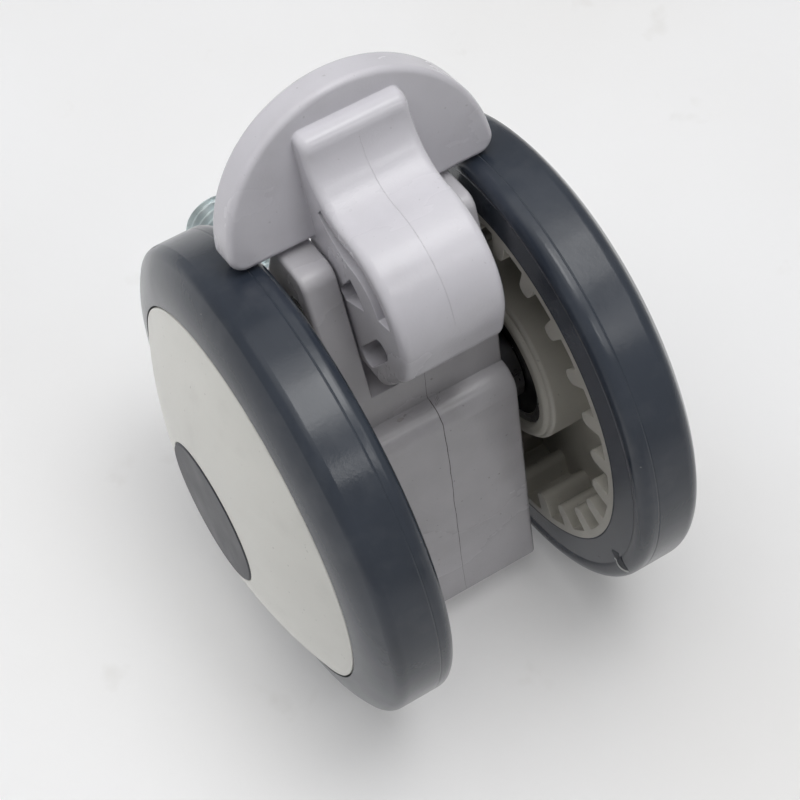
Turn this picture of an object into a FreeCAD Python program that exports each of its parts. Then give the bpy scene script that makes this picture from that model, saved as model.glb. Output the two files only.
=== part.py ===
"""Swivel caster with a foot brake.

Two wheels share one axle in a moulded housing. The housing swivels on a threaded stem, and a pedal
between its fork arms swings a steel bar into teeth inside both wheels.

Frame: millimetres, +Z up the stem, +X towards the pedal, the axle along Y. The origin is on the stem's
axis, at the face where its hexagon meets what it is screwed into.
"""
import FreeCAD
import Part
import Sketcher

import math
import os
from types import SimpleNamespace

# Driving dimensions, in millimetres and degrees. Heights and reaches count from the axle.
SIZES = [
    ("wheel_diameter", 75.0),
    ("mount_height", 84.0),
    ("trail", 17.2),
    ("fit_clearance", 0.02),
    ("running_clearance", 0.05),
    ("moving_gap", 0.4),
    # tyre and rim
    ("wheel_gap", 2.8),
    ("tread_inset", 1.9),
    ("tread_width", 6.0),
    ("tyre_wall", 7.2),
    ("tyre_wall_slope", 0.3),
    ("tyre_shoulder_drop", 2.9),
    ("tyre_shoulder_bend", 0.57),
    ("tyre_edge_drop", 0.94),
    ("tyre_edge_width", 1.8),
    ("tyre_edge_bend", 1.08),
    ("tyre_side_bend", 2.04),
    ("tyre_lip_height", 1.5),
    ("mould_line", 0.8),
    ("mould_line_width", 0.3),
    ("mould_line_depth", 0.07),
    ("rim_wall", 1.4),
    ("rim_width", 10.7),
    ("web_depth", 8.1),
    ("web_wall", 1.8),
    ("tooth_count", 24),
    ("tooth_tip_radius", 25.0),
    ("tooth_tip_width", 2.5),
    ("tooth_root_width", 3.2),
    ("tooth_phase", 6.5),
    ("hub_wall", 2.8),
    ("hub_edge", 0.75),
    ("hub_mouth", 0.4),
    # ball bearing, axle and what holds it
    ("bearing_outer_radius", 11.0),
    ("bearing_bore_radius", 4.0),
    ("bearing_width", 7.0),
    ("bearing_ring_wall", 1.6),
    ("bearing_recess", 0.9),
    ("shield_wall", 0.5),
    ("shield_recess", 0.3),
    ("axle_radius", 4.0),
    ("axle_groove_depth", 0.7),
    ("axle_end", 1.1),
    ("clip_wall", 0.8),
    ("clip_radius", 6.3),
    ("clip_opening", 70.0),
    ("spacer_radius", 6.2),
    # wheel cap and its centre badge
    ("cap_edge_gap", 0.3),
    ("cap_edge_wall", 1.5),
    ("cap_dome_radius", 71.0),
    ("cap_wall", 1.4),
    ("cap_skirt_wall", 1.2),
    ("badge_radius", 11.1),
    ("badge_wall", 1.1),
    ("badge_rise", 0.2),
    ("badge_gap", 0.1),
    # housing
    ("housing_width", 25.0),
    ("housing_back", 34.0),
    ("housing_bottom", 10.9),
    ("housing_edge", 0.7),
    ("housing_back_height", 8.0),
    ("step_reach", 8.7),
    ("ledge_height", 7.2),
    ("pedal_wall", 14.8),
    ("arm_reach", 36.9),
    ("arm_wall", 4.1),
    ("arm_flare", 1.0),
    ("arm_flare_length", 6.0),
    ("arm_tip_bottom", 3.1),
    ("arm_tip_top", 7.0),
    ("arm_tip_radius", 2.4),
    ("arm_shoulder_reach", 24.0),
    ("arm_shoulder_height", 12.0),
    ("arm_shoulder_bend", 1.5),
    ("arm_edge", 0.4),
    ("collar_radius", 11.5),
    ("collar_height", 4.0),
    ("collar_edge", 0.6),
    # stem and its bearings
    ("stem_radius", 6.0),
    ("stem_length", 25.0),
    ("stem_tip_chamfer", 0.8),
    ("hex_width", 19.0),
    ("hex_height", 4.0),
    ("washer_wall", 0.9),
    ("washer_gap", 0.1),
    ("bush_wall", 2.0),
    ("bush_flange_radius", 10.5),
    ("bush_flange_wall", 1.2),
    ("upper_bush_length", 12.0),
    ("lower_bush_length", 8.0),
    ("journal_length", 31.5),
    ("ring_groove_depth", 1.0),
    ("ring_wall", 0.8),
    ("ring_radius", 7.2),
    # brake pedal
    ("pivot_inset", 7.4),
    ("pivot_height", 0.3),
    ("pivot_radius", 2.0),
    ("pin_bevel", 0.3),
    ("pivot_boss_radius", 4.0),
    ("pedal_travel", 28.0),
    ("plate_gap", 0.4),
    ("plate_height", 2.6),
    ("plate_tilt", 6.0),
    ("plate_radius", 20.4),
    ("plate_centre", 0.7),
    ("plate_wall", 5.3),
    ("plate_corner", 2.4),
    ("plate_edge", 0.9),
    ("lever_width", 16.0),
    ("lever_edge", 1.2),
    ("belly_reach", 33.8),
    ("belly_drop", 6.9),
    ("belly_radius", 12.0),
    ("belly_sweep", 105.0),
    ("belly_tail", 2.9),
    ("tail_drop", 11.6),
    ("tail_radius", 4.0),
    ("saddle_radius", 8.2),
    ("saddle_sweep", 83.0),
    ("nose_radius", 2.2),
    ("skin_wall", 2.3),
    ("groove_width", 3.4),
    ("groove_end_width", 1.6),
    ("groove_bend", 1.6),
    ("groove_sweep", 76.0),
    ("groove_lift", 36.0),
    ("pocket_depth", 5.0),
    ("recess_outer", 10.2),
    ("recess_start", 66.0),
    ("recess_end", 40.0),
    ("window_width", 3.2),
    ("window_front_reach", 28.9),
    ("window_front_drop", 12.3),
    ("window_back_reach", 23.2),
    ("window_back_drop", 7.4),
    # wheel lock
    ("lock_radius", 25.8),
    ("bar_radius", 1.4),
    ("bar_grip", 5.2),
    ("bar_slot_gap", 0.6),
    ("horn_wall", 1.6),
    ("spring_wall", 0.5),
    ("spring_width", 9.0),
    ("spring_foot", 4.0),
    ("spring_bow", 5.0),
    ("spring_floor", 1.5),
]


# The two wheels, and the side of the middle plane that each is on.
SIDES = [("left", -1), ("right", 1)]

# How close two places have to be to count as the same, when edges are picked for rounding.
NEAR = 1e-6


class Size:
    """A length or an angle: its number, and the expression that ties it to the sheet."""

    def __init__(self, number, text):
        self.number = number
        self.text = text

    def __add__(self, other):
        other = size_of(other)
        return Size(self.number + other.number, f"({self.text} + {other.text})")

    def __sub__(self, other):
        other = size_of(other)
        return Size(self.number - other.number, f"({self.text} - {other.text})")

    def __mul__(self, other):
        other = size_of(other)
        return Size(self.number * other.number, f"({self.text} * {other.text})")

    def __truediv__(self, other):
        other = size_of(other)
        return Size(self.number / other.number, f"({self.text} / {other.text})")

    def __neg__(self):
        return Size(-self.number, f"(0 - {self.text})")

    def __radd__(self, other):
        return size_of(other) + self

    def __rsub__(self, other):
        return size_of(other) - self

    def __rmul__(self, other):
        return size_of(other) * self


def size_of(value):
    """The value as a Size, so that plain numbers can stand in a sum."""
    if isinstance(value, Size):
        return value
    return Size(float(value), f"({float(value)})")


def sine(angle):
    return Size(math.sin(math.radians(angle.number)), f"sin({angle.text})")


def cosine(angle):
    return Size(math.cos(math.radians(angle.number)), f"cos({angle.text})")


def root(square):
    return Size(math.sqrt(square.number), f"sqrt({square.text})")


ZERO = Size(0.0, "0")


def write_sheet(doc):
    """Put the driving dimensions in the document's sheet and give each one back as a Size."""
    sheet = doc.addObject("Spreadsheet::Sheet", "sheet")
    sizes = SimpleNamespace()
    for row, (alias, number) in enumerate(SIZES, start=1):
        sheet.set(f"A{row}", alias)
        sheet.set(f"B{row}", str(number))
        sheet.setAlias(f"B{row}", alias)
        setattr(sizes, alias, Size(float(number), f"sheet.{alias}"))
    doc.recompute()
    return sizes


def bind(feature, name, size):
    """Set a property from a size and keep it tied to the sheet."""
    feature.setExpression(name, size_of(size).text)


def new_body(doc, label, x=0.0, z=0.0):
    """An empty body whose own origin lies at x, z of the caster's middle plane."""
    body = doc.addObject("PartDesign::Body", label)
    body.Label = label
    bind(body, "Placement.Base.x", x)
    bind(body, "Placement.Base.z", z)
    return body


def origin_feature(body, role):
    return next(item for item in body.Origin.OriginFeatures if item.Role == role)


def arc_between(start, end, radius):
    """The short arc from start to end, bending left for a positive radius."""
    chord = end - start
    half = chord.Length / 2
    rise = math.sqrt(max(radius * radius - half * half, 0.0))
    left = FreeCAD.Vector(-chord.y, chord.x, 0).normalize()
    centre = start + chord / 2 + left * math.copysign(rise, radius)
    circle = Part.Circle(centre, FreeCAD.Vector(0, 0, 1), abs(radius))
    first, last = (start, end) if radius > 0 else (end, start)
    begin = math.atan2(first.y - centre.y, first.x - centre.x)
    finish = math.atan2(last.y - centre.y, last.x - centre.x)
    if finish < begin:
        finish += 2 * math.pi
    return Part.ArcOfCircle(circle, begin, finish)


def add_outline(sketch, path):
    """Draw a closed outline in a sketch.

    Each entry is (across, up), or (across, up, bend) when an arc of that radius leads to the next point,
    to the left for a positive bend.
    """
    points = [FreeCAD.Vector(size_of(p[0]).number, size_of(p[1]).number, 0) for p in path]
    ends = []
    for index, entry in enumerate(path):
        start = points[index]
        end = points[(index + 1) % len(path)]
        if len(entry) == 2:
            edge = sketch.addGeometry(Part.LineSegment(start, end), False)
            ends.append((edge, 1, 2))
            continue
        bend = size_of(entry[2])
        edge = sketch.addGeometry(arc_between(start, end, bend.number), False)
        ends.append((edge, 1, 2) if bend.number > 0 else (edge, 2, 1))
        limit = sketch.addConstraint(Sketcher.Constraint("Radius", edge, abs(bend.number)))
        bind(sketch, f"Constraints[{limit}]", bend if bend.number > 0 else -bend)
    for index, (edge, first, last) in enumerate(ends):
        after, after_first, _ = ends[(index + 1) % len(ends)]
        sketch.addConstraint(Sketcher.Constraint("Coincident", edge, last, after, after_first))
        for kind, value in (("DistanceX", path[index][0]), ("DistanceY", path[index][1])):
            value = size_of(value)
            limit = sketch.addConstraint(Sketcher.Constraint(kind, -1, 1, edge, first, value.number))
            bind(sketch, f"Constraints[{limit}]", value)


def add_circle(sketch, across, up, radius):
    """Draw a circle in a sketch from its centre and radius."""
    centre = FreeCAD.Vector(size_of(across).number, size_of(up).number, 0)
    edge = sketch.addGeometry(Part.Circle(centre, FreeCAD.Vector(0, 0, 1), size_of(radius).number), False)
    for kind, value in (("DistanceX", across), ("DistanceY", up)):
        value = size_of(value)
        limit = sketch.addConstraint(Sketcher.Constraint(kind, -1, 1, edge, 3, value.number))
        bind(sketch, f"Constraints[{limit}]", value)
    limit = sketch.addConstraint(Sketcher.Constraint("Radius", edge, size_of(radius).number))
    bind(sketch, f"Constraints[{limit}]", radius)


def new_sketch(body, name, plane, lift=None):
    """An empty sketch on one of the body's own planes, lifted along the plane's normal."""
    sketch = body.newObject("Sketcher::SketchObject", name)
    sketch.AttachmentSupport = [(origin_feature(body, plane), "")]
    sketch.MapMode = "FlatFace"
    if lift is not None:
        bind(sketch, "AttachmentOffset.Base.z", lift)
    return sketch


def outline(body, name, plane, path, lift=None):
    sketch = new_sketch(body, name, plane, lift)
    add_outline(sketch, path)
    return sketch


def revolve(body, plane, section, angle=360.0):
    """Turn a section about its own upright axis, to make the whole of a body."""
    profile = outline(body, f"{body.Label}_section", plane, section)
    turned = body.newObject("PartDesign::Revolution", f"{body.Label}_turn")
    turned.Profile = profile
    turned.ReferenceAxis = (profile, ["V_Axis"])
    bind(turned, "Angle", angle)
    return turned


def pad(body, name, profile, length, side="Symmetric", turn=False):
    padded = body.newObject("PartDesign::Pad", name)
    padded.Profile = profile
    padded.SideType = side
    padded.Reversed = turn
    bind(padded, "Length", length)
    return padded


def pocket(body, name, profile, length, side="Symmetric", turn=False):
    cut = body.newObject("PartDesign::Pocket", name)
    cut.Profile = profile
    cut.SideType = side
    cut.Reversed = turn
    bind(cut, "Length", length)
    return cut


def fillet(body, name, base, edges, radius):
    """Round the edges of a feature that the test picks out."""
    body.Document.recompute()
    found = [f"Edge{n}" for n, edge in enumerate(base.Shape.Edges, start=1) if edges(edge)]
    rounded = body.newObject("PartDesign::Fillet", name)
    rounded.Base = (base, found)
    bind(rounded, "Radius", radius)
    return rounded


def bow(start, end, bend):
    """The start of an arc to end, its radius the bend times the straight distance."""
    across, up = end[0] - start[0], end[1] - start[1]
    return start + (bend * root(across * across + up * up),)


def touch(place, centre, radius):
    """Where a straight line from a place touches a circle, on its right for a positive radius."""
    across, up = centre[0] - place[0], centre[1] - place[1]
    square = across * across + up * up
    reach = square - radius * radius
    aside = radius * root(reach)
    step_x, step_z = reach * across + aside * up, reach * up - aside * across
    return (place[0] + step_x / square, place[1] + step_z / square)


def dome_height(s, radius, depth):
    """Place along the axle of the cover's dome at a radius, on its face or at a depth under it."""
    ball = s.cap_dome_radius
    centre = s.cap_edge_top - root(ball * ball - s.cap_radius * s.cap_radius)
    return centre + root((ball - depth) * (ball - depth) - radius * radius)


def derive(s):
    """Places that several sub-parts share, worked out from the driving dimensions."""
    s.wheel_radius = s.wheel_diameter / 2
    s.axle_height = s.wheel_radius - s.mount_height
    s.housing_side = s.housing_width / 2
    s.arm_side = s.housing_side + s.arm_flare
    s.arm_span = s.arm_side * 2
    s.wheel_inner = s.housing_side + s.wheel_gap
    s.tread_start = s.wheel_inner + s.tread_inset
    s.tread_end = s.tread_start + s.tread_width
    s.bar_reach = s.wheel_inner + s.bar_grip
    s.hub_radius = s.bearing_outer_radius + s.hub_wall
    s.rim_radius = s.wheel_radius - s.tyre_wall
    s.rim_end = s.wheel_inner + s.rim_width
    s.web_inner = s.wheel_inner + s.web_depth
    s.web_outer = s.web_inner + s.web_wall
    s.lip_end = s.rim_end + s.tyre_lip_height
    s.bearing_start = s.wheel_inner + s.bearing_recess
    s.bearing_end = s.bearing_start + s.bearing_width
    s.clip_start = s.bearing_end + s.fit_clearance
    s.cap_radius = s.rim_radius - s.cap_edge_gap * 2
    s.cap_edge_top = s.rim_end + s.cap_edge_wall
    s.badge_recess = s.badge_radius + s.badge_gap
    s.badge_seat = dome_height(s, s.badge_recess, ZERO) + s.badge_rise - s.badge_wall
    s.housing_top = -(s.hex_height + s.washer_gap + s.washer_wall)
    s.bush_radius = s.stem_radius + s.bush_wall
    s.upper_bush_end = s.housing_top - s.upper_bush_length
    s.journal_end = -(s.hex_height + s.journal_length)
    s.bore_end = s.journal_end - s.moving_gap
    s.arm_inner = s.housing_side - s.arm_wall
    s.pivot_reach = s.arm_reach - s.pivot_inset
    s.chord_reach = s.wheel_radius + s.plate_gap
    s.pitch = size_of(360) / s.tooth_count
    s.gap_angle = s.tooth_phase + s.pitch / 2
    locked_x = s.lock_radius * cosine(s.gap_angle) - s.pivot_reach
    locked_z = s.lock_radius * sine(s.gap_angle) - s.pivot_height
    s.locked_bar = (locked_x + s.pivot_reach, locked_z + s.pivot_height)
    back_x = locked_x * cosine(s.pedal_travel) - locked_z * sine(s.pedal_travel)
    back_z = locked_x * sine(s.pedal_travel) + locked_z * cosine(s.pedal_travel)
    s.free_bar = (back_x + s.pivot_reach, back_z + s.pivot_height)
    s.horn_radius = s.bar_radius + s.horn_wall
    return s


def at_axle(doc, label, s):
    return new_body(doc, label, x=s.trail, z=s.axle_height)


def mirrored(path, side):
    """A wheel's section on its own side of the middle plane."""
    turned = []
    for entry in path:
        across, along = entry[0], side * size_of(entry[1])
        turned.append((across, along) if len(entry) == 2 else (across, along, side * size_of(entry[2])))
    return turned


def tyre(doc, s, name, side):
    """Soft tread moulded round the rim, with a mould line, a small inner shoulder and a long outer side."""
    body = at_axle(doc, f"tyre_{name}", s)
    lip = s.rim_radius - s.cap_edge_gap
    line = s.tread_start + s.mould_line
    wall_top = (s.wheel_radius - s.tyre_shoulder_drop, s.wheel_inner + s.tyre_wall_slope)
    tread_inner = (s.wheel_radius, s.tread_start)
    tread_outer = (s.wheel_radius, s.tread_end)
    edge = (s.wheel_radius - s.tyre_edge_drop, s.tread_end + s.tyre_edge_width)
    lip_top = (lip, s.lip_end)
    section = [
        (s.rim_radius, s.wheel_inner),
        bow(wall_top, tread_inner, s.tyre_shoulder_bend),
        tread_inner,
        (s.wheel_radius, line - s.mould_line_width / 2),
        (s.wheel_radius - s.mould_line_depth, line),
        (s.wheel_radius, line + s.mould_line_width / 2),
        bow(tread_outer, edge, s.tyre_edge_bend),
        bow(edge, lip_top, s.tyre_side_bend),
        lip_top,
        (lip, s.rim_end),
        (s.rim_radius, s.rim_end),
    ]
    revolve(body, "XY_Plane", mirrored(section, side))
    return body


def rim(doc, s, name, side):
    """Hard wheel core: tyre seat, web, bearing hub and a ring of rounded teeth for the lock bar."""
    body = at_axle(doc, f"rim_{name}", s)
    mouth = s.rim_radius - s.rim_wall
    seat = s.bearing_outer_radius + s.fit_clearance
    cap_step = s.cap_radius - s.cap_skirt_wall
    bore = s.bearing_outer_radius - s.bearing_ring_wall
    section = [
        (seat + s.hub_mouth, s.wheel_inner),
        (s.hub_radius - s.hub_edge * 2, s.wheel_inner, s.hub_edge),
        (s.hub_radius - s.hub_edge, s.wheel_inner + s.hub_edge, s.hub_edge),
        (s.hub_radius, s.wheel_inner + s.hub_edge * 2),
        (s.hub_radius, s.web_inner),
        (mouth, s.web_inner),
        (mouth, s.wheel_inner),
        (s.rim_radius, s.wheel_inner),
        (s.rim_radius, s.rim_end),
        (cap_step, s.rim_end),
        (cap_step, s.web_outer),
        (bore, s.web_outer),
        (bore, s.bearing_end),
        (seat, s.bearing_end),
        (seat, s.wheel_inner + s.hub_mouth),
    ]
    revolve(body, "XY_Plane", mirrored(section, side))
    base = mouth + s.rim_wall / 2
    tip = s.tooth_tip_radius + s.tooth_tip_width / 2
    along, across = cosine(s.tooth_phase), sine(s.tooth_phase)

    def turned(radius, width):
        return (radius * along - width * across, radius * across + width * along)

    tooth = [
        turned(base, -s.tooth_root_width / 2),
        turned(base, s.tooth_root_width / 2),
        turned(tip, s.tooth_tip_width / 2) + (s.tooth_tip_width / 2,),
        turned(s.tooth_tip_radius, ZERO) + (s.tooth_tip_width / 2,),
        turned(tip, -s.tooth_tip_width / 2),
    ]
    profile = outline(body, f"rim_{name}_tooth_outline", "XZ_Plane", tooth, lift=-side * s.wheel_inner)
    length = s.web_depth + s.web_wall / 2
    finger = pad(body, f"rim_{name}_tooth", profile, length, side="One side", turn=side > 0)
    ring = body.newObject("PartDesign::PolarPattern", f"rim_{name}_teeth")
    ring.Originals = [finger]
    ring.Axis = (origin_feature(body, "Y_Axis"), [""])
    ring.Angle = 360
    bind(ring, "Occurrences", s.tooth_count)
    body.Tip = ring
    return body


def cap(doc, s, name, side):
    """Domed wheel cover, seated on the rim's outer edge, with a round recess for its badge."""
    body = at_axle(doc, f"cap_{name}", s)
    skirt = s.cap_radius - s.cap_skirt_wall - s.cap_edge_gap
    inner = skirt - s.cap_skirt_wall
    floor = s.badge_recess + s.cap_wall
    section = [
        (ZERO, s.badge_seat - s.cap_wall),
        (floor, s.badge_seat - s.cap_wall),
        (floor, dome_height(s, floor, s.cap_wall), s.cap_wall - s.cap_dome_radius),
        (inner, dome_height(s, inner, s.cap_wall)),
        (inner, s.web_outer),
        (skirt, s.web_outer),
        (skirt, s.rim_end),
        (s.cap_radius, s.rim_end),
        (s.cap_radius, s.cap_edge_top, s.cap_dome_radius),
        (s.badge_recess, dome_height(s, s.badge_recess, ZERO)),
        (s.badge_recess, s.badge_seat),
        (ZERO, s.badge_seat),
    ]
    revolve(body, "XY_Plane", mirrored(section, side))
    return body


def badge(doc, s, name, side):
    """Plain dark disc with a bevelled rim, in the middle of the cover."""
    body = at_axle(doc, f"badge_{name}", s)
    face = s.badge_seat + s.badge_wall
    section = [
        (ZERO, s.badge_seat),
        (s.badge_radius, s.badge_seat),
        (s.badge_radius, face - s.badge_rise),
        (s.badge_radius - s.badge_rise, face),
        (ZERO, face),
    ]
    revolve(body, "XY_Plane", mirrored(section, side))
    return body


def ring(doc, s, label, inner, outer, start, end, side, angle=360.0):
    """A plain ring round the axle between two places along it."""
    body = at_axle(doc, label, s)
    section = [(inner, start), (outer, start), (outer, end), (inner, end)]
    revolve(body, "XY_Plane", mirrored(section, side), angle)
    return body


def bearing_outer(doc, s, name, side):
    label = f"bearing_outer_{name}"
    outer = s.bearing_outer_radius
    return ring(doc, s, label, outer - s.bearing_ring_wall, outer, s.bearing_start, s.bearing_end, side)


def bearing_inner(doc, s, name, side):
    label = f"bearing_inner_{name}"
    inner = s.bearing_bore_radius + s.fit_clearance
    outer = s.bearing_bore_radius + s.bearing_ring_wall
    return ring(doc, s, label, inner, outer, s.bearing_start, s.bearing_end, side)


def bearing_shield(doc, s, name, side, start):
    inner = s.bearing_bore_radius + s.bearing_ring_wall + s.moving_gap
    outer = s.bearing_outer_radius - s.bearing_ring_wall
    return ring(doc, s, name, inner, outer, start, start + s.shield_wall, side)


def axle_spacer(doc, s, name, side):
    inner = s.axle_radius + s.fit_clearance
    return ring(doc, s, f"spacer_{name}", inner, s.spacer_radius, s.housing_side, s.bearing_start, side)


def axle_clip(doc, s, name, side):
    inner = s.axle_radius - s.axle_groove_depth + s.fit_clearance
    end = s.clip_start + s.clip_wall
    span = size_of(360) - s.clip_opening
    return ring(doc, s, f"axle_clip_{name}", inner, s.clip_radius, s.clip_start, end, side, span)


def axle(doc, s):
    """Turned steel axle with a clip groove near each end."""
    body = at_axle(doc, "axle", s)
    groove = s.axle_radius - s.axle_groove_depth
    start = s.clip_start - s.fit_clearance
    end = s.clip_start + s.clip_wall + s.fit_clearance
    tip = end + s.axle_end
    bevel = s.axle_groove_depth
    half = [(groove, start), (groove, end), (s.axle_radius, end)]
    half += [(s.axle_radius, tip - bevel), (s.axle_radius - bevel, tip), (ZERO, tip)]
    outer = [(s.axle_radius, start)] + half
    section = outer + [(across, -along) for across, along in reversed(outer)]
    revolve(body, "XY_Plane", section)
    return body


def housing(doc, s):
    """Moulded body: stem socket, axle block with a stepped underside, and two arms that carry the pedal."""
    body = at_axle(doc, "housing", s)
    top = s.housing_top - s.axle_height
    shelf = top - s.collar_height
    collar_front = (s.collar_radius - s.trail, shelf)
    collar_back = (-s.collar_radius - s.trail, shelf)
    shoulder = (s.arm_shoulder_reach, s.arm_shoulder_height)
    back_top = (-s.housing_back, s.housing_back_height)
    tip_low = (s.arm_reach - s.arm_tip_radius, s.arm_tip_radius - s.arm_tip_bottom)
    tip_high = (s.arm_reach - s.arm_tip_radius, s.arm_tip_top - s.arm_tip_radius)
    pedal_edge = (s.pedal_wall, -s.ledge_height)
    step = s.housing_bottom - s.ledge_height
    back_run, back_rise = collar_back[0] - back_top[0], collar_back[1] - back_top[1]
    back_bend = (back_run * back_run + back_rise * back_rise) / (2 * back_run)
    crest = touch(shoulder, tip_high, -s.arm_tip_radius)
    arm = [
        pedal_edge,
        touch(pedal_edge, tip_low, s.arm_tip_radius) + (s.arm_tip_radius,),
        (s.arm_reach, tip_low[1]),
        (s.arm_reach, tip_high[1], s.arm_tip_radius),
        crest,
    ]
    side_view = [
        (-s.housing_back, -s.housing_bottom),
        (s.step_reach - step, -s.housing_bottom, step),
        (s.step_reach, -s.ledge_height),
        *arm,
        bow(shoulder, collar_front, s.arm_shoulder_bend),
        collar_front,
        collar_back + (back_bend,),
        back_top,
    ]
    view = outline(body, "housing_side_view", "XZ_Plane", side_view)
    block = pad(body, "housing_block", view, s.housing_width)

    for name, side in SIDES:
        outside = in_plane(side * s.housing_side, beyond=-s.housing_back * 2, below=shelf)
        block = fillet(body, f"housing_{name}_edges", block, outside, s.housing_edge)
    collar = new_sketch(body, "housing_collar_circle", "XY_Plane", lift=shelf)
    add_circle(collar, -s.trail, ZERO, s.collar_radius)
    boss = pad(body, "housing_collar", collar, s.collar_height, side="One side")

    def collar_rim(edge):
        return all(abs(v.Z - top.number) < NEAR for v in edge.Vertexes)

    fillet(body, "housing_collar_edge", boss, collar_rim, s.collar_edge)
    share = s.arm_flare / (shoulder[1] - crest[1])
    cheek_top = shoulder[1] - s.arm_flare
    cheek_back = [(shoulder[0] + (crest[0] - shoulder[0]) * share, cheek_top), (s.pedal_wall, cheek_top)]
    flare_arms(body, s, arm + cheek_back)
    gap = [
        (s.pedal_wall, -s.arm_inner),
        (s.arm_reach + s.arm_wall, -s.arm_inner),
        (s.arm_reach + s.arm_wall, s.arm_inner),
        (s.pedal_wall, s.arm_inner),
    ]
    fork = pocket(body, "housing_fork", outline(body, "housing_fork_plan", "XY_Plane", gap), s.mount_height)

    for name, side in SIDES:
        inside = in_plane(side * s.arm_inner, beyond=s.pedal_wall, below=shelf)
        fork = fillet(body, f"housing_{name}_arm_edges", fork, inside, s.arm_edge)
    holes = new_sketch(body, "housing_cross_holes", "XZ_Plane")
    add_circle(holes, ZERO, size_of(0), s.axle_radius + s.fit_clearance)
    add_circle(holes, s.pivot_reach, s.pivot_height, s.pivot_radius)
    pocket(body, "housing_cross_drill", holes, s.arm_span)
    swing = slot_path(s.free_bar, s.locked_bar, s.bar_radius + s.bar_slot_gap)
    pocket(body, "housing_bar_slots", outline(body, "housing_bar_slot", "XZ_Plane", swing), s.arm_span)
    pocket(body, "housing_spring_slot", spring_slot(body, s), s.spring_width + s.fit_clearance * 2)
    socket = new_sketch(body, "housing_socket_circle", "XY_Plane", lift=top)
    add_circle(socket, -s.trail, ZERO, s.bush_radius)
    pocket(body, "housing_socket", socket, s.housing_top - s.bore_end, side="One side")
    seat = new_sketch(body, "housing_flange_circle", "XY_Plane", lift=top)
    add_circle(seat, -s.trail, ZERO, s.bush_flange_radius + s.running_clearance)
    pocket(body, "housing_flange_seat", seat, s.bush_flange_wall, side="One side")
    return body


def in_plane(place, beyond, below):
    """A test for edges at a place along Y that reach beyond a place along X and below a height."""
    def lies(edge):
        level = all(abs(v.Y - place.number) < NEAR for v in edge.Vertexes)
        reach = max(v.X for v in edge.Vertexes)
        low = min(v.Z for v in edge.Vertexes)
        return level and reach > beyond.number + NEAR and low < below.number - NEAR
    return lies


def flare_arms(body, s, cheek):
    """Make the arms wider than the block behind them, with a slope between."""
    pad(body, "housing_arms", outline(body, "housing_arm_view", "XZ_Plane", cheek), s.arm_span)
    slopes = new_sketch(body, "housing_slope_plan", "XY_Plane")
    flare_end = s.pedal_wall + s.arm_flare_length
    for _, side in SIDES:
        inner, outer = side * s.housing_side, side * (s.arm_side + s.arm_flare)
        beyond = flare_end + s.arm_flare_length
        add_outline(slopes, [(s.pedal_wall, inner), (beyond, outer), (s.pedal_wall, outer)])
    wide = pocket(body, "housing_slopes", slopes, s.mount_height)
    for name, side in SIDES:
        outside = in_plane(side * s.arm_side, beyond=flare_end, below=s.mount_height)
        wide = fillet(body, f"housing_{name}_flare_edges", wide, outside, s.housing_edge)


def slot_path(start, end, half):
    """Outline of a slot with round ends between two places, half as wide on each side."""
    (x0, z0), (x1, z1) = start, end
    run = root((x1 - x0) * (x1 - x0) + (z1 - z0) * (z1 - z0))
    along_x, along_z = (x1 - x0) / run, (z1 - z0) / run
    return [
        (x0 + along_z * half, z0 - along_x * half),
        (x1 + along_z * half, z1 - along_x * half, half),
        (x1 + along_x * half, z1 + along_z * half, half),
        (x1 - along_z * half, z1 + along_x * half),
        (x0 - along_z * half, z0 + along_x * half, half),
        (x0 - along_x * half, z0 - along_z * half, half),
    ]


def spring_slot(body, s):
    """Slot in the wall behind the pedal that holds the leaf spring's foot."""
    low = s.spring_floor - s.ledge_height - s.fit_clearance
    high = low + s.spring_wall + s.fit_clearance * 2
    back = s.pedal_wall - s.spring_foot - s.fit_clearance
    front = s.pedal_wall + s.spring_wall
    path = [(back, low), (front, low), (front, high), (back, high)]
    return outline(body, "housing_spring_slot_outline", "XZ_Plane", path)


def stem_bolt(doc, s):
    """Threaded stem, wrench hexagon and the journal that turns in the housing."""
    body = new_body(doc, "stem_bolt")
    groove = s.stem_radius - s.ring_groove_depth
    ring_top = s.upper_bush_end - s.moving_gap
    ring_bottom = ring_top - s.ring_wall - s.fit_clearance * 2
    section = [
        (ZERO, s.journal_end),
        (s.stem_radius - s.stem_tip_chamfer, s.journal_end),
        (s.stem_radius, s.journal_end + s.stem_tip_chamfer),
        (s.stem_radius, ring_bottom),
        (groove, ring_bottom),
        (groove, ring_top),
        (s.stem_radius, ring_top),
        (s.stem_radius, s.stem_length - s.stem_tip_chamfer),
        (s.stem_radius - s.stem_tip_chamfer, s.stem_length),
        (ZERO, s.stem_length),
    ]
    revolve(body, "XZ_Plane", section)
    radius = s.hex_width / 2 / cosine(size_of(30))
    turns = [size_of(60 * n + 30) for n in range(6)]
    corners = [(radius * cosine(turn), radius * sine(turn)) for turn in turns]
    hexagon = outline(body, "stem_hexagon", "XY_Plane", corners, lift=-s.hex_height)
    pad(body, "stem_hex", hexagon, s.hex_height, side="One side")
    return body


def stem_ring(doc, label, inner, outer, bottom, top, angle=360.0):
    """A plain ring round the stem between two heights."""
    body = new_body(doc, label)
    section = [(inner, bottom), (outer, bottom), (outer, top), (inner, top)]
    revolve(body, "XZ_Plane", section, angle)
    return body


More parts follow.
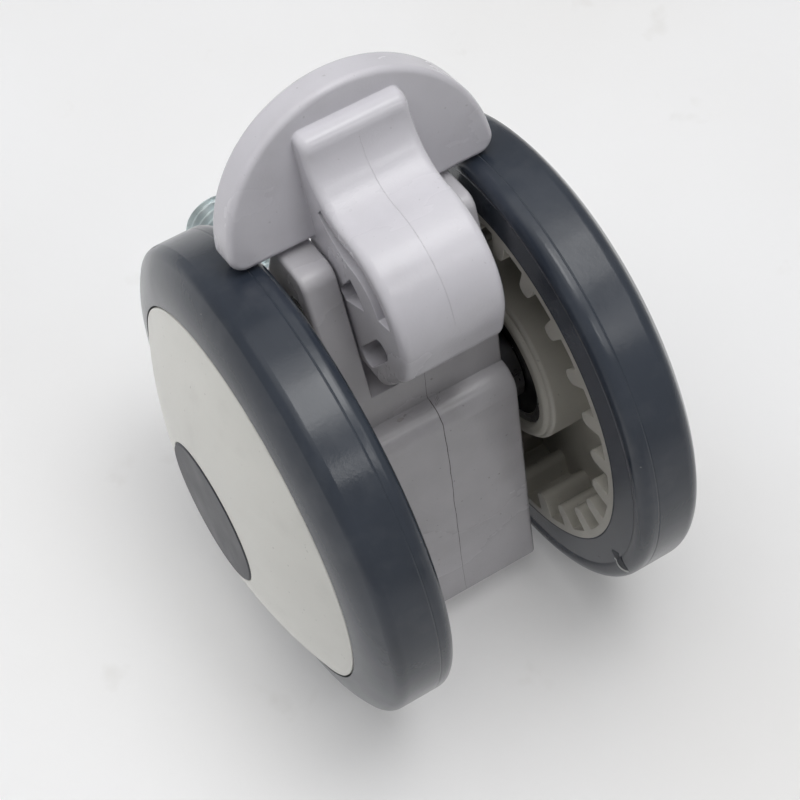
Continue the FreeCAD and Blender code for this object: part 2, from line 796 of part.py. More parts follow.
def upper_bush(doc, s):
    """Flanged bush pressed into the mouth of the stem socket."""
    body = new_body(doc, "upper_bush")
    inner = s.stem_radius + s.running_clearance
    shoulder = s.housing_top - s.bush_flange_wall
    section = [
        (inner, s.upper_bush_end),
        (s.bush_radius, s.upper_bush_end),
        (s.bush_radius, shoulder),
        (s.bush_flange_radius, shoulder),
        (s.bush_flange_radius, s.housing_top),
        (inner, s.housing_top),
    ]
    revolve(body, "XZ_Plane", section)
    return body


def stem_pieces(doc, s):
    """The stem with its snap ring, and the rings that it turns in."""
    inner = s.stem_radius + s.running_clearance
    ring_top = s.upper_bush_end - s.moving_gap - s.fit_clearance
    ring_bottom = ring_top - s.ring_wall
    snap_inner = s.stem_radius - s.ring_groove_depth + s.fit_clearance
    snap_angle = size_of(360) - s.clip_opening
    bush_top = s.bore_end + s.lower_bush_length
    washer_top = s.housing_top + s.washer_wall
    return [
        stem_bolt(doc, s),
        stem_ring(doc, "snap_ring", snap_inner, s.ring_radius, ring_bottom, ring_top, snap_angle),
        upper_bush(doc, s),
        stem_ring(doc, "lower_bush", inner, s.bush_radius, s.bore_end, bush_top),
        stem_ring(doc, "thrust_washer", inner, s.bush_flange_radius, s.housing_top, washer_top),
    ]


def around(centre, radius, angle):
    """A point on a circle in the side view, the angle counted from +X towards +Z."""
    return (centre[0] + radius * cosine(angle), centre[1] + radius * sine(angle))


def lever_profile(s):
    """Side view of the lever: root under the foot plate, horn, tail, and an S-shaped front with a nose."""
    belly = (s.belly_reach, -s.belly_drop)
    saddle = (s.belly_reach + s.belly_radius + s.saddle_radius, -s.belly_drop)
    saddle_end = size_of(180) - s.saddle_sweep
    nose = around(saddle, s.saddle_radius + s.nose_radius, saddle_end)
    pivot = (s.pivot_reach, s.pivot_height)
    belly_end = around(belly, s.belly_radius, -s.belly_sweep)
    tail_end = around(belly_end, s.belly_tail, -s.belly_sweep - 90)
    tail_centre = around(tail_end, s.tail_radius, size_of(180) - s.belly_sweep)
    horn_low = around(s.free_bar, s.horn_radius, size_of(225))
    tail_top = (horn_low[0], -s.tail_drop)
    half = s.plate_wall / 2
    return [
        (nose[0] + s.nose_radius, nose[1]),
        (nose[0] + s.nose_radius, s.plate_height + s.plate_wall),
        (s.chord_reach + half, s.plate_height + half),
        around(pivot, s.pivot_boss_radius, size_of(90)),
        around(s.free_bar, s.horn_radius, size_of(90)) + (s.horn_radius,),
        around(s.free_bar, s.horn_radius, size_of(180)) + (s.horn_radius,),
        horn_low,
        tail_top,
        touch(tail_top, tail_centre, s.tail_radius) + (s.tail_radius,),
        tail_end,
        belly_end + (s.belly_radius,),
        around(belly, s.belly_radius, ZERO) + (-s.saddle_radius,),
        around(saddle, s.saddle_radius, saddle_end) + (s.nose_radius,),
    ]


def groove_profile(s):
    """Groove that follows the lever's front inside its skin and narrows towards the plate."""
    belly = (s.belly_reach, -s.belly_drop)
    saddle = (s.belly_reach + s.belly_radius + s.saddle_radius, -s.belly_drop)
    outer = s.belly_radius - s.skin_wall
    inner = outer - s.groove_width
    near = s.saddle_radius + s.skin_wall
    lift = size_of(180) - s.groove_lift
    inner_top = around(belly, inner, ZERO)
    return [
        around(belly, outer, -s.groove_sweep) + (outer,),
        around(belly, outer, ZERO) + (-near,),
        around(saddle, near, lift),
        bow(around(saddle, near + s.groove_end_width, lift), inner_top, s.groove_bend),
        inner_top + (-inner,),
        around(belly, inner, -s.groove_sweep),
    ]


def recess_profile(s):
    """Recess between the pivot's boss and the lever's front."""
    pivot = (s.pivot_reach, s.pivot_height)
    return [
        around(pivot, s.pivot_boss_radius, -s.recess_start),
        around(pivot, s.recess_outer, -s.recess_start) + (s.recess_outer,),
        around(pivot, s.recess_outer, -s.recess_end),
        around(pivot, s.pivot_boss_radius, -s.recess_end) + (-s.pivot_boss_radius,),
    ]


def window_profile(s):
    """Round-ended window under the pivot."""
    front = (s.window_front_reach, -s.window_front_drop)
    back = (s.window_back_reach, -s.window_back_drop)
    return slot_path(front, back, s.window_width / 2)


def foot_plate(body, s):
    """Half-moon plate with round corners, tilted up away from the wheels."""
    plan = new_sketch(body, "pedal_plate_plan", "XY_Plane")
    tilt = FreeCAD.Rotation(FreeCAD.Vector(0, -1, 0), s.plate_tilt.number)
    plan.AttachmentOffset = FreeCAD.Placement(FreeCAD.Vector(), tilt)
    bind(plan, "AttachmentOffset.Base.x", s.chord_reach)
    bind(plan, "AttachmentOffset.Base.z", s.plate_height)
    bind(plan, "AttachmentOffset.Rotation.Angle", s.plate_tilt)
    between = s.plate_radius - s.plate_corner
    inset = s.plate_corner - s.plate_centre
    side = root(between * between - inset * inset)
    turn_x = s.plate_centre + s.plate_radius * inset / between
    turn_y = s.plate_radius * side / between
    path = [
        (ZERO, side),
        (ZERO, -side, s.plate_corner),
        (turn_x, -turn_y, s.plate_radius),
        (s.plate_centre + s.plate_radius, ZERO, s.plate_radius),
        (turn_x, turn_y, s.plate_corner),
    ]
    add_outline(plan, path)
    plate = pad(body, "pedal_plate", plan, s.plate_wall, side="One side")
    return fillet(body, "pedal_plate_edges", plate, plate_rim, s.plate_edge)


def plate_rim(edge):
    """Whether an edge runs round the plate's face, not up its side."""
    start, end = edge.Vertexes[0].Point, edge.Vertexes[-1].Point
    return abs(start.y - end.y) > NEAR


def pedal(doc, s):
    """One moulding: half-moon foot plate, curved lever under it and a horn that carries the lock bar."""
    body = at_axle(doc, "brake_pedal", s)
    foot_plate(body, s)
    view = outline(body, "pedal_side_view", "XZ_Plane", lever_profile(s))
    lever = pad(body, "pedal_lever", view, s.lever_width)

    def front_edge(edge):
        bend = getattr(edge.Curve, "Radius", 0.0)
        fits = any(abs(bend - size.number) < NEAR for size in (s.belly_radius, s.saddle_radius))
        return fits and all(abs(abs(v.Y) - s.lever_width.number / 2) < NEAR for v in edge.Vertexes)

    fillet(body, "pedal_front_edges", lever, front_edge, s.lever_edge)
    sunk = []
    shapes = {"groove": groove_profile(s), "recess": recess_profile(s), "window": window_profile(s)}
    for name, path in shapes.items():
        sketch = outline(body, f"pedal_{name}_outline", "XZ_Plane", path, lift=s.lever_width / 2)
        sunk.append(pocket(body, f"pedal_{name}", sketch, s.pocket_depth, side="One side"))
    both = body.newObject("PartDesign::Mirrored", "pedal_far_side")
    both.Originals = sunk
    both.MirrorPlane = (origin_feature(body, "XZ_Plane"), [""])
    body.Tip = both
    holes = new_sketch(body, "pedal_cross_holes", "XZ_Plane")
    add_circle(holes, s.pivot_reach, s.pivot_height, s.pivot_radius + s.running_clearance)
    add_circle(holes, s.free_bar[0], s.free_bar[1], s.bar_radius)
    pocket(body, "pedal_cross_drill", holes, s.lever_width)
    return body


def cross_pin(doc, s, label, place, radius, reach):
    """A plain pin across the caster, with bevelled ends."""
    body = new_body(doc, label, x=s.trail + place[0], z=s.axle_height + place[1])
    half = [(radius, reach - s.pin_bevel), (radius - s.pin_bevel, reach), (ZERO, reach)]
    section = half + [(across, -along) for across, along in reversed(half)]
    revolve(body, "XY_Plane", section)
    return body


def leaf_spring(doc, s):
    """Bent strip: its foot sits in a slot of the housing, its bow bears on the pedal's horn."""
    body = at_axle(doc, "leaf_spring", s)
    wall = s.pedal_wall
    bar_x, bar_z = s.free_bar
    low = bar_z - s.spring_bow
    high = bar_z + s.spring_bow
    rise = bar_x - s.horn_radius - s.moving_gap - s.spring_wall - wall
    bow = (s.spring_bow * s.spring_bow + rise * rise) / (2 * rise)
    foot = s.spring_floor - s.ledge_height
    path = [
        (wall - s.spring_foot, foot),
        (wall + s.spring_wall, foot),
        (wall + s.spring_wall, low, -bow),
        (wall + s.spring_wall + rise, bar_z, -bow),
        (wall + s.spring_wall, high),
        (wall, high, bow),
        (wall + rise, bar_z, bow),
        (wall, low),
        (wall, foot + s.spring_wall),
        (wall - s.spring_foot, foot + s.spring_wall),
    ]
    view = outline(body, "leaf_spring_side_view", "XZ_Plane", path)
    pad(body, "leaf_spring_strip", view, s.spring_width)
    return body


def main():
    os.makedirs("parts", exist_ok=True)
    doc = FreeCAD.newDocument("caster")
    s = derive(write_sheet(doc))
    bodies = stem_pieces(doc, s)
    bodies.append(housing(doc, s))
    bodies.append(axle(doc, s))
    pivot = (s.pivot_reach, s.pivot_height)
    bodies.append(cross_pin(doc, s, "pivot_pin", pivot, s.pivot_radius, s.arm_side))
    bodies.append(leaf_spring(doc, s))
    bodies.append(pedal(doc, s))
    bodies.append(cross_pin(doc, s, "lock_bar", s.free_bar, s.bar_radius, s.bar_reach))
    for name, side in SIDES:
        bodies.append(rim(doc, s, name, side))
        bodies.append(tyre(doc, s, name, side))
        bodies.append(cap(doc, s, name, side))
        bodies.append(badge(doc, s, name, side))
        bodies.append(bearing_outer(doc, s, name, side))
        bodies.append(bearing_inner(doc, s, name, side))
        inner_face = s.bearing_start + s.shield_recess
        outer_face = s.bearing_end - s.shield_recess - s.shield_wall
        bodies.append(bearing_shield(doc, s, f"inner_shield_{name}", side, inner_face))
        bodies.append(bearing_shield(doc, s, f"outer_shield_{name}", side, outer_face))
        bodies.append(axle_spacer(doc, s, name, side))
        bodies.append(axle_clip(doc, s, name, side))
    doc.recompute()
    for item in doc.Objects:
        if any(word in item.State for word in ("Invalid", "Error")):
            raise RuntimeError(f"{item.Label} failed: {item.State}")
    for body in bodies:
        if body.Shape.isNull() or not body.Shape.isValid():
            raise RuntimeError(f"{body.Label} has no valid shape")
        body.Shape.exportStep(f"parts/{body.Label}.step")
        print(f"{body.Label}: {body.Shape.Volume:.1f} cubic millimetres")


main()
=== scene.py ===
# %% [markdown]
# # A swivel caster with a foot brake
#
# Two wheels share one axle in a grey moulded housing. A threaded stem carries the housing, and a pedal
# between its fork arms locks both wheels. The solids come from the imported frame, in metres, and every
# piece that this lesson adds rides on one of its bodies. We dress the solids first, then add what a
# solid model leaves out: the thread, the mould lines, a crack and small marks of use.

import math

import bpy
from mathutils import Matrix, Vector, noise


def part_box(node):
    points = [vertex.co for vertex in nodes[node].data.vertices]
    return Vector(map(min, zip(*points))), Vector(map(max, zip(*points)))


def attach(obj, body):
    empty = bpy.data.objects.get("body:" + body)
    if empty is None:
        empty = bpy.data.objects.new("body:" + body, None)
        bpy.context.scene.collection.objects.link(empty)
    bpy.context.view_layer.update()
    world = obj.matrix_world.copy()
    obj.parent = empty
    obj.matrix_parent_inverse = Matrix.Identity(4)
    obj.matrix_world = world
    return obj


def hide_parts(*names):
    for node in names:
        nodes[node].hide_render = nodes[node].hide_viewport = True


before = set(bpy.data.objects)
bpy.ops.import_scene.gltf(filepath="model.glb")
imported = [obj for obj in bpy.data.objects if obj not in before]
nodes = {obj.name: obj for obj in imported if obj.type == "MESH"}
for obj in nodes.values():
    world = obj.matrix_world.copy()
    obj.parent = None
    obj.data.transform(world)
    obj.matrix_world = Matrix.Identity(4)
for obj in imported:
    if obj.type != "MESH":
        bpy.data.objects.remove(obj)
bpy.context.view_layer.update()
MM = 0.001

# %% [markdown]
# ## Where things are
#
# The frame's origin is on the stem. Most of what follows is easier to say from the axle, so one helper
# turns millimetres from the axle into the frame's metres. The axle's place is read from its own box.

# %% Places counted from the axle
axle_low, axle_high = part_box("axle")
AXLE = (axle_low + axle_high) / 2
WHEEL_RADIUS = (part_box("tyre_left")[1].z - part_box("tyre_left")[0].z) / 2


def from_axle(x, y, z):
    """A point given in millimetres from the middle of the axle, in the frame's metres."""
    return AXLE + Vector((x, y, z)) * MM


print("axle at", [round(x / MM, 2) for x in AXLE], "wheel radius", round(WHEEL_RADIUS / MM, 2))

# %% [markdown]
# ## The camera
#
# The photograph was taken from the pedal's side and from below, with the caster lying on a table. The
# camera's place and its axes were worked out from the ellipses that the two round wheels make in the
# picture. A camera matrix wants right, up and back as its columns.

# %% Camera
CAMERA_PLACE = from_axle(214.12, -73.10, -168.39)
CAMERA_RIGHT = Vector((-0.11543, 0.85325, -0.50857))
CAMERA_UP = Vector((0.64376, 0.45417, 0.61587))
FOCAL_PIXELS = 1911.4
PICTURE_PIXELS = 800
SENSOR_MM = 36.0

camera_back = CAMERA_RIGHT.cross(CAMERA_UP)
camera = bpy.data.objects.new("camera", bpy.data.cameras.new("camera"))
camera.data.sensor_width = SENSOR_MM
camera.data.lens = FOCAL_PIXELS * SENSOR_MM / PICTURE_PIXELS
camera.data.clip_start = 0.01
axes = Matrix((CAMERA_RIGHT, CAMERA_UP, camera_back)).transposed()
camera.matrix_world = Matrix.Translation(CAMERA_PLACE) @ axes.to_4x4()
bpy.context.scene.collection.objects.link(camera)
bpy.context.scene.camera = camera
print("lens", round(camera.data.lens, 2), "mm")

# %% [markdown]
# ## Node helpers
#
# Every finish is built from nodes, and the same few moves come back: make a node, set some of its
# sockets, wire others. A small class keeps that readable. Textures use object coordinates, which here
# are the frame's metres, so a noise scale of 1000 has features about a millimetre across.

# %% Colours and sockets


def linear(red, green, blue):
    """A colour given as 0 to 255 on screen, as the linear values that a shader wants."""
    def one(value):
        value = value / 255
        return value / 12.92 if value <= 0.04045 else ((value + 0.055) / 1.055) ** 2.4
    return (one(red), one(green), one(blue), 1.0)


def feed(tree, socket, value):
    """Wire another node's output into a socket, or set the socket to a plain value."""
    if isinstance(value, bpy.types.NodeSocket):
        tree.links.new(value, socket)
    else:
        socket.default_value = value


print("mid grey in linear light:", round(linear(128, 128, 128)[0], 3))

# %% A small class for finishes


class Finish:
    """A material with one Principled shader, and short ways to add nodes to it."""

    def __init__(self, name, roughness, metallic=0.0, level=0.5):
        self.material = bpy.data.materials.new(name)
        self.material.use_nodes = True
        self.tree = self.material.node_tree
        self.shader = self.tree.nodes["Principled BSDF"]
        self.shader.inputs["Roughness"].default_value = roughness
        self.shader.inputs["Metallic"].default_value = metallic
        self.shader.inputs["Specular IOR Level"].default_value = level
        self.place = self.add("ShaderNodeTexCoord").outputs["Object"]

    def add(self, kind, settings=None, **sockets):
        """A new node: settings are its own properties, sockets are values or other nodes' outputs."""
        node = self.tree.nodes.new(kind)
        for name, value in (settings or {}).items():
            setattr(node, name, value)
        for name, value in sockets.items():
            feed(self.tree, node.inputs[name.replace("_", " ")], value)
        return node

    def wire(self, output, socket):
        """Wire an output into one of the shader's own sockets."""
        self.tree.links.new(output, self.shader.inputs[socket])

    def cloud(self, scale, detail=3.0, stretch=None):
        """Soft noise from 0 to 1, drawn out along an axis if stretch says so."""
        place = self.place
        if stretch is not None:
            place = self.add("ShaderNodeMapping", Vector=place, Scale=stretch).outputs["Vector"]
        return self.add("ShaderNodeTexNoise", Vector=place, Scale=scale, Detail=detail).outputs["Fac"]

    def between(self, value, low, high, start=0.0, end=1.0):
        """The value's range from low to high spread over start to end, and held at both ends."""
        node = self.add("ShaderNodeMapRange", Value=value)
        for name, number in (("From Min", low), ("From Max", high), ("To Min", start), ("To Max", end)):
            node.inputs[name].default_value = number
        return node.outputs["Result"]

    def mix(self, share, first, second):
        """Two colours mixed by a share from 0 to 1."""
        node = self.add("ShaderNodeMix", {"data_type": "RGBA"})
        for socket, value in ((node.inputs[0], share), (node.inputs[6], first), (node.inputs[7], second)):
            feed(self.tree, socket, value)
        return node.outputs[2]

    def math(self, operation, first, second):
        """One step of arithmetic on two values."""
        node = self.add("ShaderNodeMath", {"operation": operation})
        for socket, value in zip(node.inputs, (first, second)):
            feed(self.tree, socket, value)
        return node.outputs["Value"]

    def rounded(self, radius):
        """The surface's direction with its edges rounded off, as light sees a moulded edge."""
        return self.add("ShaderNodeBevel", {"samples": 6}, Radius=radius).outputs["Normal"]

    def edges(self, radius):
        """Near 1 along edges and 0 elsewhere: how far the rounded direction leaves the plain one."""
        plain = self.add("ShaderNodeNewGeometry").outputs["Normal"]
        dot = self.add("ShaderNodeVectorMath", {"operation": "DOT_PRODUCT"})
        self.tree.links.new(plain, dot.inputs[0])
        self.tree.links.new(self.rounded(radius), dot.inputs[1])
        return self.between(dot.outputs["Value"], 0.98, 0.8)

    def bump(self, height, distance, normal):
        """A surface direction tilted by a height, whose full range is a distance in metres."""
        node = self.add("ShaderNodeBump", Height=height, Normal=normal, Distance=distance)
        return node.outputs["Normal"]


print("finish helpers ready")

# %% [markdown]
# ## Moulded plastic
#
# Housing, pedal, wheel cores and covers are injection mouldings of much the same kind: an even colour
# that is never quite even, a fine orange-peel skin, edges painted a little paler, partly as rubbing and
# partly as a painted highlight, and a few specks of dirt. One function makes them all, and what differs
# is passed in. The skin and the rounded edges act on the shader's normal, and patches of handling change
# the roughness.

# %% Moulded plastics


def moulded(name, colour, roughness, skin=0.00002, edge=0.0004, dirt=0.35, mottle=0.07, level=0.5):
    """An injection-moulded finish of one colour."""
    f = Finish(name, roughness, level=level)
    base = linear(*colour)
    darker = tuple(channel * (1 - mottle * 2) for channel in base[:3]) + (1.0,)
    paler = tuple(min(channel * (1 + mottle), 1.0) for channel in base[:3]) + (1.0,)
    flow = f.cloud(55.0, 4.0, stretch=(1.0, 1.0, 0.45))
    colour_now = f.mix(f.between(flow, 0.32, 0.68), darker, paler)
    specks = f.between(f.cloud(1500.0, 1.0), 0.74, 0.80, 0.0, dirt)
    colour_now = f.mix(specks, colour_now, linear(96, 92, 88))
    grime = f.math("MULTIPLY", f.between(f.cloud(140.0, 6.0), 0.55, 0.85), dirt * 0.5)
    colour_now = f.mix(grime, colour_now, linear(120, 116, 110))
    # Edges painted paler: partly rubbing, partly a painted highlight along every edge.
    rubbed_and_highlit = f.math("MULTIPLY", f.edges(edge), f.between(f.cloud(220.0, 4.0), 0.35, 0.7, 0.05, 0.4))
    worn_and_highlit_colour = tuple(min(channel * 1.25 + 0.03, 1.0) for channel in base[:3]) + (1.0,)
    f.wire(f.mix(rubbed_and_highlit, colour_now, worn_and_highlit_colour), "Base Color")
    handled = f.cloud(90.0, 5.0, stretch=(1.0, 0.5, 1.6))
    f.wire(f.between(handled, 0.3, 0.7, roughness - 0.05, roughness + 0.07), "Roughness")
    f.wire(f.bump(f.cloud(2600.0, 2.0), skin, f.rounded(edge)), "Normal")
    return f.material


# The housing's grey is the pedal's plastic made darker: painted shade.
housing_plastic = moulded("housing_plastic", (190, 188, 192), 0.24, edge=0.0003)
pedal_plastic = moulded("pedal_plastic", (212, 210, 216), 0.24, edge=0.0003, dirt=0.2, mottle=0.03)
wheel_plastic = moulded("wheel_plastic", (186, 183, 174), 0.38, edge=0.00025, mottle=0.05)
cover_plastic = moulded("cover_plastic", (222, 221, 215), 0.42, edge=0.0003, dirt=0.25, mottle=0.03)
badge_plastic = moulded("badge_plastic", (60, 61, 67), 0.42, edge=0.0002, dirt=0.2, mottle=0.06, level=0.3)
bush_plastic = moulded("bush_plastic", (70, 70, 73), 0.5, edge=0.0002, dirt=0.2, mottle=0.04)
print("plastics:", [m.name for m in (housing_plastic, pedal_plastic, wheel_plastic, cover_plastic)])

# %% [markdown]
# ## Tread
#
# The tyres are a soft blue-grey elastomer with a satin gloss. A window's light draws clear patches on
# them, so the gloss matters more than the colour. Dust and small pale specks sit on the tread, and some
# places are duller than others. The textures use each tyre's own coordinates, so they turn with the wheel.

# %% Tread finish


def tread():
    """Soft blue-grey elastomer with dust, specks and an uneven gloss."""
    f = Finish("tread_rubber", 0.2, level=0.5)
    base, deep = linear(53, 59, 69), linear(44, 50, 60)
    colour_now = f.mix(f.between(f.cloud(60.0, 4.0), 0.35, 0.65), deep, base)
    dust = f.math("MULTIPLY", f.between(f.cloud(160.0, 6.0), 0.5, 0.8), 0.12)
    colour_now = f.mix(dust, colour_now, linear(120, 122, 125))
    specks = f.between(f.cloud(900.0, 1.0), 0.80, 0.84, 0.0, 0.4)
    f.wire(f.mix(specks, colour_now, linear(170, 172, 172)), "Base Color")
    f.wire(f.between(f.cloud(120.0, 6.0), 0.3, 0.75, 0.15, 0.26), "Roughness")
    f.wire(f.bump(f.cloud(1800.0, 3.0), 0.000012, f.rounded(0.00015)), "Normal")
    return f.material


tread_rubber = tread()
print("tread finish:", tread_rubber.name)

# %% [markdown]
# ## Metals
#
# The stem is zinc plated, with the bluish, cloudy bloom that plating has. That bloom scatters some light as
# paint does, so the plated steel isn't wholly metallic. Axle, bearings and spring are plain steel with
# turning marks. Metal is mostly reflection, so the work is in roughness and bump.

# %% Metals


def metal(name, colour, tint, roughness, marks, metallic=1.0):
    """Bare or plated steel: a cloudy tint, uneven gloss and fine marks round the stem or axle."""
    f = Finish(name, roughness, metallic=metallic)
    bloom = f.between(f.cloud(180.0, 5.0), 0.35, 0.65)
    colour_now = f.mix(bloom, linear(*colour), linear(*tint))
    stains = f.between(f.cloud(700.0, 3.0), 0.66, 0.8, 0.0, 0.5)
    f.wire(f.mix(stains, colour_now, linear(88, 84, 78)), "Base Color")
    f.wire(f.between(f.cloud(300.0, 5.0), 0.3, 0.7, roughness - 0.08, roughness + 0.1), "Roughness")
    f.wire(f.bump(f.cloud(900.0, 2.0, stretch=marks), 0.00002, f.rounded(0.00015)), "Normal")
    return f.material


zinc_steel = metal("zinc_steel", (216, 225, 225), (190, 203, 206), 0.34, (1.0, 1.0, 6.0), metallic=0.8)
axle_steel = metal("axle_steel", (176, 176, 174), (150, 150, 150), 0.28, (1.0, 6.0, 1.0))
bearing_steel = metal("bearing_steel", (190, 190, 190), (160, 162, 166), 0.22, (1.0, 6.0, 1.0))
spring_steel = metal("spring_steel", (120, 118, 116), (96, 96, 100), 0.34, (1.0, 6.0, 1.0))
# Dark partly as black bearing seals and partly as painted shade deep in the hub's bore.
dark_seal_and_bore_shade = metal("dark_seal_and_bore_shade", (74, 73, 72), (58, 58, 60), 0.4, (1.0, 6.0, 1.0))
print("metals ready")

# %% [markdown]
# ## Dressing the solids
#
# A solid whose shape is right stays as it is and only gets its finish. The names tell which finish a
# piece takes, so a short list of beginnings is enough. Housing and pedal have large flat faces beside
# small rounded edges, and where the two meet, averaged normals draw faint streaks on the flat side. A
# weighted-normal modifier lets the larger face decide, and moves no point.

# %% Give each solid its finish
DRESS = [
    ("tyre_", tread_rubber), ("rim_", wheel_plastic), ("cap_", cover_plastic), ("badge_", badge_plastic),
    ("housing", housing_plastic), ("brake_pedal", pedal_plastic), ("upper_bush", bush_plastic),
    ("lower_bush", bush_plastic), ("stem_bolt", zinc_steel), ("thrust_washer", zinc_steel),
    ("snap_ring", spring_steel), ("leaf_spring", spring_steel), ("axle_clip", spring_steel),
    # Spacers take the darker spring steel and the shields the dark finish: painted shade in the hub's bore.
    ("axle", axle_steel), ("pivot_pin", axle_steel), ("lock_bar", axle_steel), ("spacer_", spring_steel),
    ("bearing_", bearing_steel), ("inner_shield", dark_seal_and_bore_shade), ("outer_shield", dark_seal_and_bore_shade),
]
SHARP = math.radians(32)

for name, solid in nodes.items():
    finish = next(material for start, material in DRESS if name.startswith(start))
    solid.data.materials.clear()
    solid.data.materials.append(finish)
    if name in ("housing", "brake_pedal"):
        solid.modifiers.new("larger_face_decides", "WEIGHTED_NORMAL").mode = "FACE_AREA"
    print(f"{name}: {finish.name}, {len(solid.data.vertices)} points, {len(solid.data.polygons)} faces")

# %% [markdown]
# ## The threaded stem
#
# The solid stem is a plain rod of the thread's outer radius. The real one has an M12 thread of 1.75 mm
# pitch, a wrench hexagon with turned corners, and a smooth journal below. All of it can be one stack of
# rings: each ring has a height and a radius that may change round the circle. For the thread the radius
# follows the height minus the pitch times the turn, so the grooves wind up the stem as a helix.

# %% Rings into a closed mesh
AROUND = 96


def link_mesh(name, points, faces, material):
    """A new object from points and faces, smooth where its faces meet at a low angle."""
    mesh = bpy.data.meshes.new(name)
    mesh.from_pydata(points, [], faces)
    mesh.validate()
    mesh.update()
    mesh.materials.append(material)
    mesh.shade_smooth()
    mesh.set_sharp_from_angle(angle=SHARP)
    piece = bpy.data.objects.new(name, mesh)
    bpy.context.scene.collection.objects.link(piece)
    return piece


def ring_stack(name, rings, material):
    """A closed turned piece from (height, radius of the turn) rings, in millimetres about the stem."""
    points, faces = [], []
    for height, radius in rings:
        for step in range(AROUND):
            turn = 2 * math.pi * step / AROUND
            reach = radius(turn, height)
            points.append(Vector((reach * math.cos(turn), reach * math.sin(turn), height)) * MM)
    for row in range(len(rings) - 1):
        for step in range(AROUND):
            after = (step + 1) % AROUND
            low, high = row * AROUND, (row + 1) * AROUND
            faces.append((low + step, low + after, high + after, high + step))
    faces.append(tuple(reversed(range(AROUND))))
    faces.append(tuple(range((len(rings) - 1) * AROUND, len(rings) * AROUND)))
    return link_mesh(name, points, faces, material)


print("each ring has", AROUND, "points")

# %% Thread and hexagon
STEM_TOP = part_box("stem_bolt")[1].z / MM
ROD_RADIUS, INSIDE_ROD = 6.0, 0.03
CREST_RADIUS = ROD_RADIUS - INSIDE_ROD
PITCH = 1.75
THREAD_DEPTH = 0.95
THREAD_START = 2.2
CREST_FROM, FLANK_SPAN = 0.88, 0.7
TIP_CHAMFER = 1.0
HEX_FLAT = 9.5
HEX_HEIGHT = 4.0
HEX_TURNED = 9.65
HEX_SLOPE = 1.73


def threaded(turn, height):
    """Thread radius: flat crests, sloping flanks and flat roots, running out at both ends."""
    phase = (height / PITCH - turn / (2 * math.pi)) % 1.0
    flank = abs(phase - 0.5) * 2
    depth = THREAD_DEPTH * min(max((CREST_FROM - flank) / FLANK_SPAN, 0.0), 1.0)
    run_in = min(max((height - THREAD_START) / PITCH, 0.0), 1.0)
    taper = max(height - (STEM_TOP - TIP_CHAMFER), 0.0)
    return min(CREST_RADIUS - depth * run_in, CREST_RADIUS - taper)


def hexagon(turn, height):
    """Wrench hexagon with its corners turned off towards both faces."""
    off = (turn + math.pi / 3) % (math.pi / 3) - math.pi / 6
    flat = HEX_FLAT / math.cos(math.pi / 6 - abs(off))
    inset = min(-height, height + HEX_HEIGHT)
    return min(flat, HEX_TURNED + inset * HEX_SLOPE)


def plain(radius):
    """The same radius all round."""
    return lambda turn, height: radius


print("thread of", PITCH, "mm pitch up to", round(STEM_TOP, 2), "mm")

# %% The stem's rings, from the journal's end to the tip
JOURNAL_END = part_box("stem_bolt")[0].z / MM
JOURNAL_CHAMFER = 0.8
GROOVE_BOTTOM, GROOVE_TOP = -18.24, -17.4
HEX_INSETS = (0.0, 0.2, 0.4, 0.6, 0.8)
THREAD_BASE = 0.6
ROWS_PER_PITCH = 14

journal_tip, journal, groove = plain(5.2), plain(6.0), plain(5.0)
rings = [(JOURNAL_END, journal_tip), (JOURNAL_END + JOURNAL_CHAMFER, journal)]
rings += [(GROOVE_BOTTOM, journal), (GROOVE_BOTTOM, groove), (GROOVE_TOP, groove), (GROOVE_TOP, journal)]
rings += [(-HEX_HEIGHT, journal)]
rings += [(-HEX_HEIGHT + inset, hexagon) for inset in HEX_INSETS]
rings += [(-inset, hexagon) for inset in reversed(HEX_INSETS)]
rings += [(0.0, plain(CREST_RADIUS))]
thread_height = STEM_TOP - THREAD_BASE
thread_rows = round(thread_height / PITCH * ROWS_PER_PITCH)
rings += [(THREAD_BASE + thread_height * row / thread_rows, threaded) for row in range(thread_rows + 1)]
stem = ring_stack("threaded_stem", rings, zinc_steel)
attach(stem, "stem")
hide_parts("stem_bolt")
print("stem rings:", len(rings), "faces:", len(stem.data.polygons))

# %% [markdown]
# ## Fine lines on the mouldings
#
# A long hairline crack runs along the middle of the housing's underside, and a faint mould line down the
# front of the lever. Both are far narrower than any texture would hold when the model is seen close up,
# so they are real slivers: a path on the surface, a width that changes along it, and a small wobble
# from seeded noise. Each sliver is a closed strip, sunk into the surface and standing a hair above it.

# %% Slivers along a path
SUNK = 0.08
WOBBLE_STEP = 0.37


def sliver(name, path, width, material, body, lift=0.012, wobble=0.0, seed=0.0):
    """A closed strip along (point, direction out of the surface) pairs, in millimetres from the axle."""
    points, faces = [], []
    count = len(path)
    for index, (place, out) in enumerate(path):
        here = Vector(place)
        ahead = Vector(path[min(index + 1, count - 1)][0]) - Vector(path[max(index - 1, 0)][0])
        out = Vector(out).normalized()
        side = ahead.cross(out).normalized()
        shake = wobble * noise.noise(Vector((index * WOBBLE_STEP, seed, 0.0)))
        half = width(index / (count - 1)) / 2
        middle = here + side * shake
        for across, up in ((-half, -SUNK), (half, -SUNK), (half, lift), (-half, lift)):
            spot = middle + side * across + out * up
            points.append(from_axle(*spot))
    for row in range(count - 1):
        for corner in range(4):
            after = (corner + 1) % 4
            faces.append((row * 4 + corner, row * 4 + after, row * 4 + 4 + after, row * 4 + 4 + corner))
    faces.append((3, 2, 1, 0))
    last = (count - 1) * 4
    faces.append((last, last + 1, last + 2, last + 3))
    piece = link_mesh(name, points, faces, material)
    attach(piece, body)


